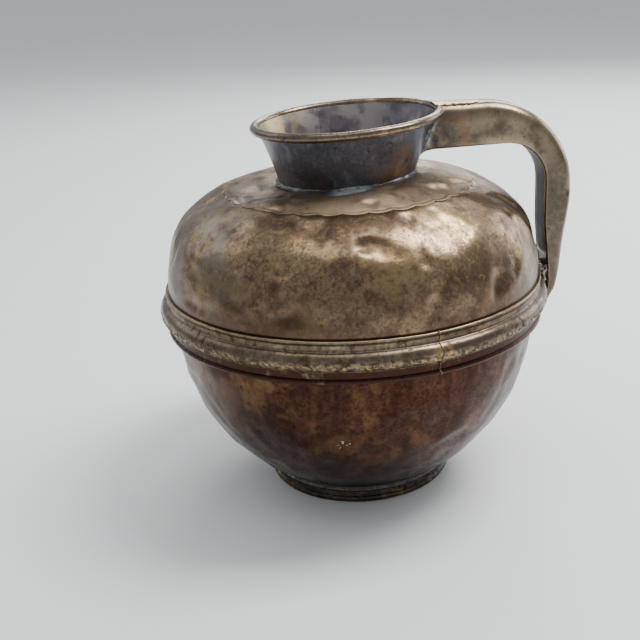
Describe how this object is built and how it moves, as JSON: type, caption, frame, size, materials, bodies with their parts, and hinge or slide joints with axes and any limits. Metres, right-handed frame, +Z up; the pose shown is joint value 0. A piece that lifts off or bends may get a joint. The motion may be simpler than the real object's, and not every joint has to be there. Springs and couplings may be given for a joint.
{
  "type": "water jug",
  "caption": "Round-bodied raised brass water jug with a moulded girdle hoop, short flared neck, rolled rim, foot ring and hollow strap handle.",
  "frame": {"origin": "centre of the circle that the foot ring stands on", "axes": "+Z up along the jug's axis, +X from the axis towards the handle"},
  "size_m": [0.2583, 0.24, 0.2332],
  "materials": {
    "shoulder_brass": "hand-raised, aged brown patina with rubbed golden high spots",
    "bowl_copper": "planished, dark red-brown patina, satin",
    "hoop_brass": "worn and pitted brass",
    "neck_brass": "heat-darkened brass",
    "rim_brass": "polished by handling",
    "handle_brass": "smooth olive-brown patina",
    "foot_brass": "dull dark brass with worn edges",
    "solder": "dull lumpy soft solder",
    "braze": "yellow brazing brass"
  },
  "bodies": {
    "root": {"foot_ring": "foot_brass", "foot_solder": "solder", "lower_bowl": "bowl_copper", "girdle_solder": "solder", "girdle_hoop": "hoop_brass", "hoop_joint": "braze", "upper_dome": "shoulder_brass", "collar_plate": "shoulder_brass", "collar_braze": "braze", "neck": "neck_brass", "neck_seam": "braze", "neck_solder": "solder", "rim_wire": "rim_brass", "handle_shell": "handle_brass", "handle_strip": "handle_brass", "handle_tab": "solder", "root_solder": "solder", "strap_solder": "solder", "tip_solder": "solder"}
  },
  "joints": []
}
